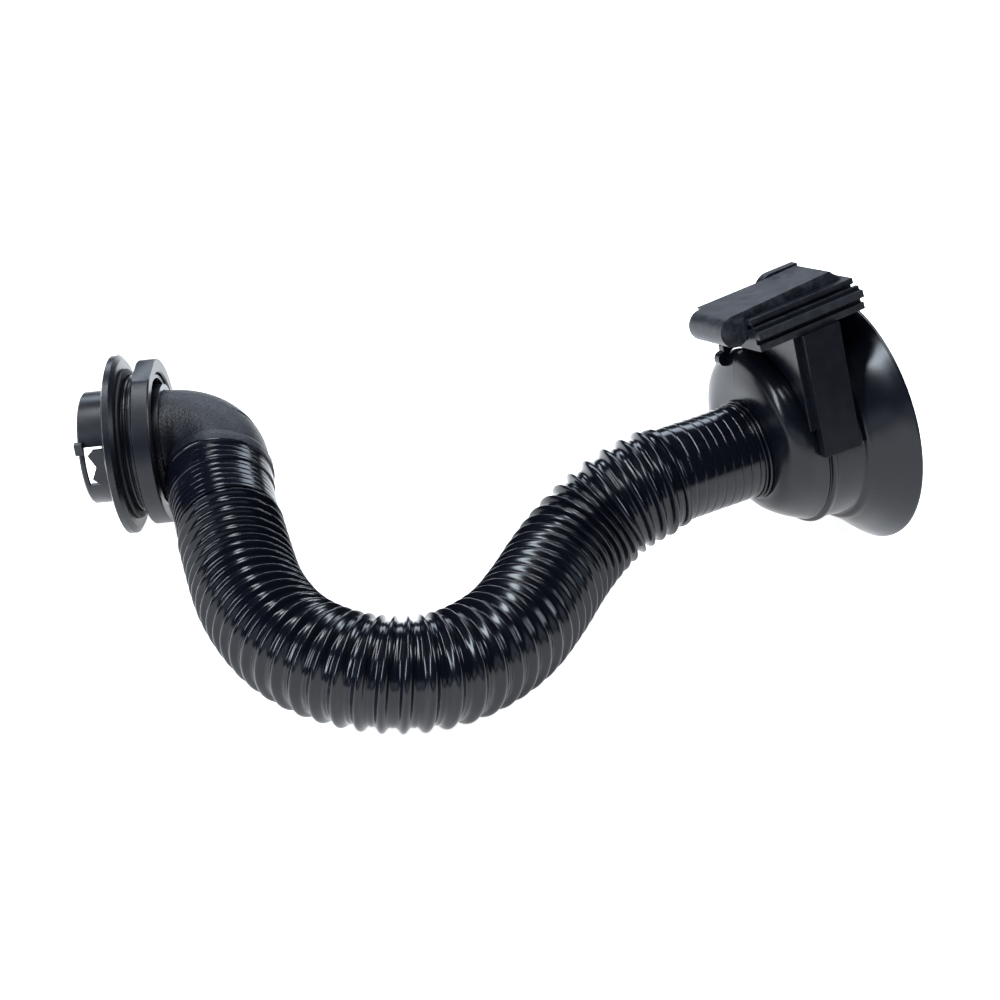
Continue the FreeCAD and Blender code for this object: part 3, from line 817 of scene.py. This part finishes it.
# %% [markdown]
# Black plastic is lit by what it reflects. The floor is a pale sheet that glows, as a light table does,
# so it stays white and gives the near sides a dim sheen. A tall soft light on the left draws the long
# highlight down the cuff and the boot, a narrow one overhead draws the line on every ridge, and a wide
# panel behind lifts the top faces. A weak fill in front and a rim at the right keep those sides from
# going flat, and the rest of the room stays dim, so that the blacks stay black.

# %% Floor and light
bpy.ops.mesh.primitive_plane_add(size=14, location=(0, 2, -0.0002))
floor = bpy.context.object
floor.name = "floor"
floor_paint = bpy.data.materials.new("white_sweep")
floor_paint.use_nodes = True
floor_tree = floor_paint.node_tree
floor_shader = floor_tree.nodes["Principled BSDF"]
floor_shader.inputs["Roughness"].default_value = 0.9
floor_shader.inputs["Specular IOR Level"].default_value = 0.1
floor_shader.inputs["Emission Color"].default_value = (1, 1, 1, 1)
floor_shader.inputs["Emission Strength"].default_value = 0.95
FLOOR_WHITES = ((0.90, 0.90, 0.905), (0.93, 0.93, 0.932))
faint = ranged(floor_tree, noise_node(floor_tree, 3.0, 3.0), 0.3, 0.7)
floor_colour = mixed(floor_tree, faint, *FLOOR_WHITES)
floor_tree.links.new(floor_colour, floor_shader.inputs["Base Color"])
floor.data.materials.append(floor_paint)


def soft_light(name, place, target, width, height, watts, colour):
    data = bpy.data.lights.new(name, "AREA")
    data.shape = "RECTANGLE"
    data.size = width
    data.size_y = height
    data.energy = watts
    data.color = colour
    light = bpy.data.objects.new(name, data)
    light.location = place
    light.rotation_euler = (Vector(target) - Vector(place)).to_track_quat("-Z", "Y").to_euler()
    bpy.context.scene.collection.objects.link(light)


soft_light("tall_left", (-1.7, -1.2, 1.2), (-0.1, 0, 0.08), 0.4, 1.3, 46, (0.80, 0.90, 1.0))
soft_light("overhead", (-0.5, -0.2, 2.1), (0, 0, 0), 2.2, 0.35, 56, (0.90, 0.95, 1.0))
soft_light("back_panel", (0.1, 2.4, 1.6), (0, 0, 0.1), 3.0, 0.8, 52, (0.76, 0.86, 1.0))
soft_light("front_fill", (0.1, -2.6, 0.45), (0, 0, 0.05), 2.8, 0.6, 7, (0.70, 0.83, 1.0))
soft_light("right_rim", (1.8, 0.2, 1.0), (0.1, 0, 0.1), 0.4, 1.0, 24, (0.80, 0.90, 1.0))
world = bpy.data.worlds.new("dim_room")
world.use_nodes = True
world.node_tree.nodes["Background"].inputs["Color"].default_value = (0.70, 0.80, 1.0, 1)
world.node_tree.nodes["Background"].inputs["Strength"].default_value = 0.05
bpy.context.scene.world = world
bpy.context.scene.view_settings.view_transform = "Standard"
